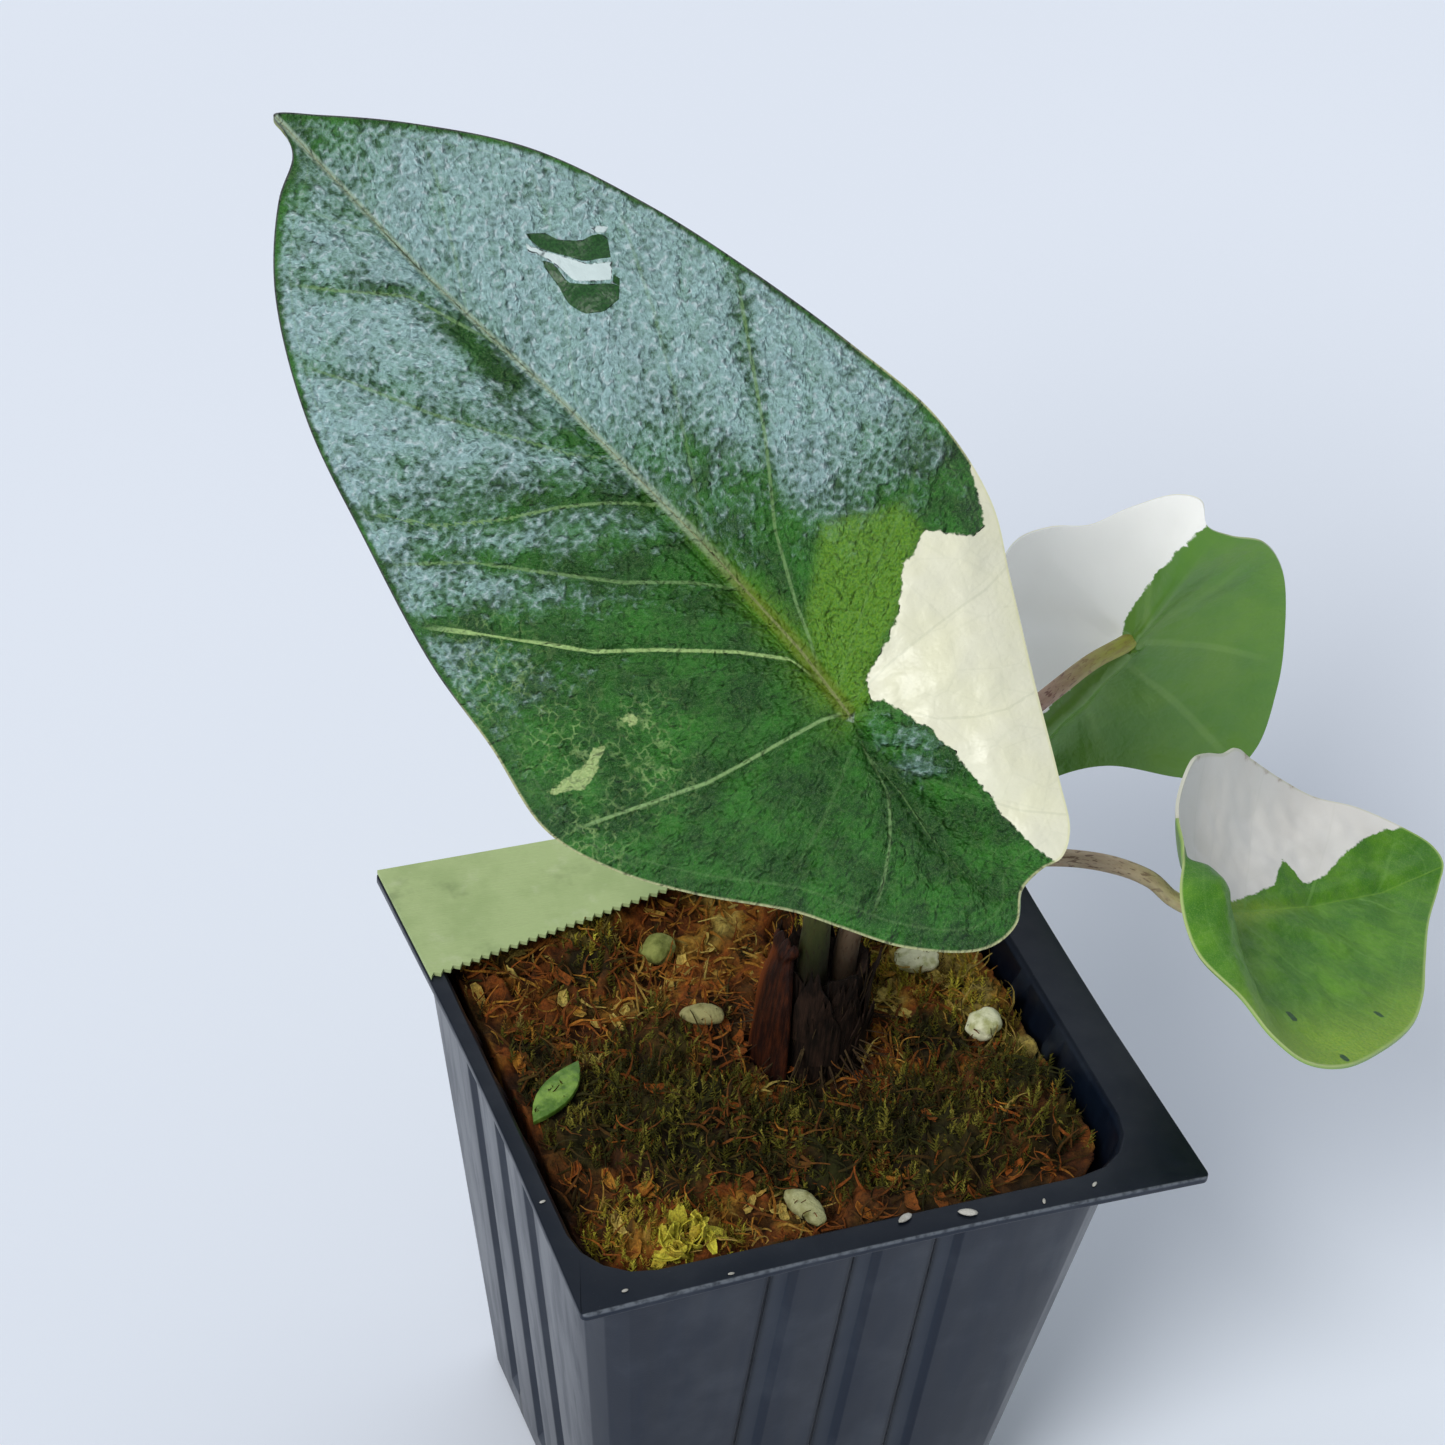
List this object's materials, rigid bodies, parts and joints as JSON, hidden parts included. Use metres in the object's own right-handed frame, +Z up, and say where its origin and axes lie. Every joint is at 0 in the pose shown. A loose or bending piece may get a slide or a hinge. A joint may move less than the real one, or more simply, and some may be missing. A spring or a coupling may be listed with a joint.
{
  "type": "potted alocasia",
  "caption": "Young variegated alocasia with metallic blue-green shield leaves and cream sectors on slim petioles, rooted in mossy sphagnum in a tapered square nursery pot.",
  "frame": {"origin": "middle of the pot's flat underside, where it rests on the table", "axes": "+Z up, -Y out of the pot's front side, +X towards the side over which the two smaller leaves hang"},
  "size_m": [0.1287, 0.1078, 0.1588],
  "materials": {
    "pot_plastic": "satin",
    "label_paper": "matt",
    "brown_moss": "fibrous, matt",
    "green_moss": "fibrous, matt",
    "gold_moss": "fibrous, matt",
    "crown_brown": "bristly, matt",
    "dry_sheath": "papery, matt",
    "petiole_skin": "smooth, satin",
    "leaf_metallic_blue": "metallic sheen over fine wrinkles",
    "leaf_cream_green": "satin",
    "leaf_young": "satin",
    "perlite": "rough",
    "leaf_bit": "satin"
  },
  "bodies": {
    "root": {"pot": "pot_plastic", "label_tape": "label_paper", "sphagnum_bed": "brown_moss", "green_moss": "green_moss", "gold_moss": "gold_moss", "crown": "crown_brown", "dry_sheath": "dry_sheath", "petiole_main": "petiole_skin", "blade_main": "leaf_metallic_blue", "petiole_rear": "petiole_skin", "blade_rear": "leaf_cream_green", "petiole_right": "petiole_skin", "blade_right": "leaf_young", "pale_bit_1": "perlite", "pale_bit_2": "perlite", "pale_bit_3": "perlite", "pale_bit_4": "perlite", "pale_bit_5": "perlite", "green_leaf_bit": "leaf_bit"}
  },
  "joints": []
}
